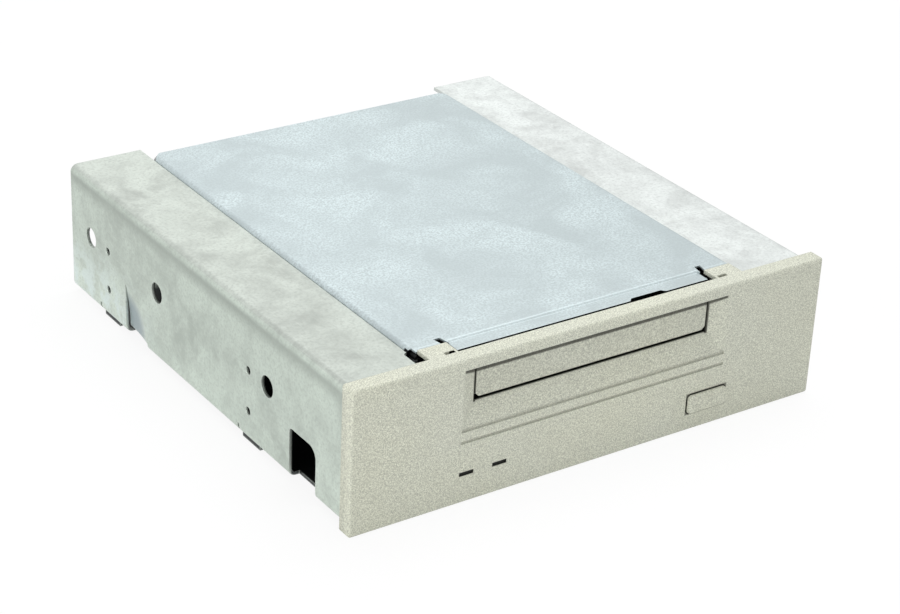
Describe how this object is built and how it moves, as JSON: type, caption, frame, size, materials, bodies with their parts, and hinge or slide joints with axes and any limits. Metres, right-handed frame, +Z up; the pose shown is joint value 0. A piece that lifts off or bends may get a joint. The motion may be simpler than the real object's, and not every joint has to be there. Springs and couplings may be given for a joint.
{
  "type": "data tape drive",
  "caption": "Half-height bay tape drive: slotted bezel with hinged door and eject button, covered drive between folded steel side brackets, cassette loading mechanism inside.",
  "frame": {"origin": "centre of the four bottom mounting holes, in the plane that the bottom mounting pads stand on", "axes": "+Z up, +Y from the front bezel to the rear connectors, +X to the right seen from the front"},
  "size_m": [0.1486, 0.1547, 0.0412],
  "materials": {
    "bezel_plastic": "fine-grained moulded plastic",
    "smoked_plastic": "smoked clear plastic",
    "lamp_plastic": "tinted lamp lens",
    "black_plastic": "moulded plastic",
    "galvanised_steel": "galvanised, mottled",
    "zinc_plated_cover": "zinc-plated, cloudy",
    "cast_aluminium": "as cast",
    "zinc_screws": "zinc-plated",
    "board_laminate": "green solder mask",
    "chip_epoxy": "moulded epoxy",
    "gold_pins": "gold flash",
    "tinned_pins": "tinned",
    "white_nylon": "natural nylon",
    "white_acetal": "acetal",
    "black_acetal": "acetal",
    "deck_steel": "zinc-plated",
    "polished_steel": "polished",
    "machined_aluminium": "fine turned",
    "brass": "turned",
    "roller_rubber": "ground",
    "motor_can": "drawn can"
  },
  "bodies": {
    "body": {"bezel": "bezel_plastic", "light_pipes": "smoked_plastic", "front_lamps": "lamp_plastic", "eject_switch": "black_plastic", "left_bracket": "galvanised_steel", "right_bracket": "galvanised_steel", "top_cover": "zinc_plated_cover", "drive_chassis": "cast_aluminium", "bracket_screws": "zinc_screws", "deck_screws": "zinc_screws", "board_screws": "zinc_screws", "circuit_board": "board_laminate", "board_chips": "chip_epoxy", "data_header": "black_plastic", "data_pins": "gold_pins", "option_header": "black_plastic", "option_pins": "gold_pins", "power_socket": "white_nylon", "power_pins": "tinned_pins", "mechanism_deck": "deck_steel", "left_guide_plate": "deck_steel", "right_guide_plate": "deck_steel", "drum_base": "machined_aluminium", "capstan_bearing": "brass", "pinch_post": "polished_steel", "reel_posts": "polished_steel", "loading_motor": "motor_can", "motor_bracket": "black_acetal", "loading_post": "deck_steel"},
    "door": {"door_flap": "bezel_plastic"},
    "button": {"eject_button": "bezel_plastic"},
    "tray": {"cassette_tray": "deck_steel"},
    "lift": {"lift_frame": "deck_steel"},
    "left_slide": {"left_slider": "white_acetal"},
    "right_slide": {"right_slider": "white_acetal"},
    "sync": {"sync_shaft": "polished_steel", "sync_pinions": "white_acetal"},
    "drum": {"drum_rotor": "machined_aluminium"},
    "capstan": {"capstan": "polished_steel"},
    "pinch_arm": {"pinch_arm": "deck_steel"},
    "pinch_roller": {"pinch_roller": "roller_rubber"},
    "supply_reel": {"supply_reel_table": "black_acetal"},
    "takeup_reel": {"takeup_reel_table": "black_acetal"},
    "entry_guide": {"entry_guide": "brass"},
    "entry_roller": {"entry_roller": "polished_steel"},
    "exit_guide": {"exit_guide": "brass"},
    "exit_roller": {"exit_roller": "polished_steel"},
    "loading_wheel": {"loading_wheel": "white_acetal"},
    "motor_shaft": {"motor_pinion": "brass"}
  },
  "joints": [
    {"name": "door_hinge", "type": "hinge", "parent": "body", "child": "door", "pos_m": [0, -0.08812, 0.0386], "axis": [-1, 0, 0], "range_deg": [-88, 0], "stiffness_Nm_per_rad": 0.0004, "springref_deg": 17.19},
    {"name": "eject_press", "type": "slide", "parent": "body", "child": "button", "axis": [0, 1, 0], "range_m": [0, 0.0012], "stiffness_N_per_m": 400, "springref_m": -0.0005},
    {"name": "left_slide_travel", "type": "slide", "parent": "body", "child": "left_slide", "axis": [0, -1, 0], "range_m": [0, 0.014]},
    {"name": "right_slide_travel", "type": "slide", "parent": "body", "child": "right_slide", "axis": [0, -1, 0], "range_m": [0, 0.014]},
    {"name": "sync_turn", "type": "hinge", "parent": "body", "child": "sync", "pos_m": [0, -0.05752, 0.0176], "axis": [1, 0, 0], "range_deg": [-1, 215]},
    {"name": "loading_wheel_turn", "type": "hinge", "parent": "body", "child": "loading_wheel", "pos_m": [-0.03525, 0.02647, 0.03], "axis": [0, 0, 1], "range_deg": [-1, 215]},
    {"name": "motor_turn", "type": "hinge", "parent": "body", "child": "motor_shaft", "pos_m": [-0.02291, 0.03544, 0.036], "axis": [0, 0, -1], "range_deg": [-3, 602]},
    {"name": "cassette_lower", "type": "slide", "parent": "body", "child": "lift", "axis": [0, 0, -1], "range_m": [0, 0.007]},
    {"name": "cassette_feed", "type": "slide", "parent": "lift", "child": "tray", "axis": [0, 1, 0], "range_m": [0, 0.016]},
    {"name": "drum_spin", "type": "hinge", "parent": "body", "child": "drum", "pos_m": [0.002, 0.01535, 0.02246], "axis": [0, 0.0872, 0.9962], "continuous": true},
    {"name": "capstan_spin", "type": "hinge", "parent": "body", "child": "capstan", "pos_m": [0.031, 0.00147, 0.02], "axis": [0, 0, 1], "continuous": true},
    {"name": "pinch_swing", "type": "hinge", "parent": "body", "child": "pinch_arm", "pos_m": [0.04, 0.01648, 0.015], "axis": [0, 0, -1], "range_deg": [0, 28], "stiffness_Nm_per_rad": 0.002, "springref_deg": -11.46},
    {"name": "pinch_roll", "type": "hinge", "parent": "pinch_arm", "child": "pinch_roller", "pos_m": [0.04154, 0.00508, 0.022], "axis": [0, 0, 1], "continuous": true},
    {"name": "supply_turn", "type": "hinge", "parent": "body", "child": "supply_reel", "pos_m": [-0.017, -0.03553, 0.015], "axis": [0, 0, 1], "continuous": true},
    {"name": "takeup_turn", "type": "hinge", "parent": "body", "child": "takeup_reel", "pos_m": [0.017, -0.03553, 0.015], "axis": [0, 0, 1], "continuous": true},
    {"name": "entry_thread", "type": "slide", "parent": "body", "child": "entry_guide", "axis": [-0.1465, 0.9892, 0], "range_m": [0, 0.02729]},
    {"name": "exit_thread", "type": "slide", "parent": "body", "child": "exit_guide", "axis": [0.2841, 0.9588, 0], "range_m": [0, 0.02817]},
    {"name": "entry_roll", "type": "hinge", "parent": "entry_guide", "child": "entry_roller", "pos_m": [-0.015, -0.01452, 0.02], "axis": [0, 0, 1], "continuous": true},
    {"name": "exit_roll", "type": "hinge", "parent": "exit_guide", "child": "exit_roller", "pos_m": [0.015, -0.01452, 0.02], "axis": [0, 0, 1], "continuous": true}
  ],
  "couplings": [
    {"joint": "right_slide_travel", "follows": "left_slide_travel", "ratio": 1},
    {"joint": "cassette_lower", "follows": "left_slide_travel", "ratio": 0.5},
    {"joint": "sync_turn", "follows": "left_slide_travel", "rad_per_m": 250},
    {"joint": "loading_wheel_turn", "follows": "left_slide_travel", "rad_per_m": 250},
    {"joint": "motor_turn", "follows": "left_slide_travel", "rad_per_m": 700},
    {"joint": "exit_thread", "follows": "entry_thread", "ratio": 1.0317}
  ]
}
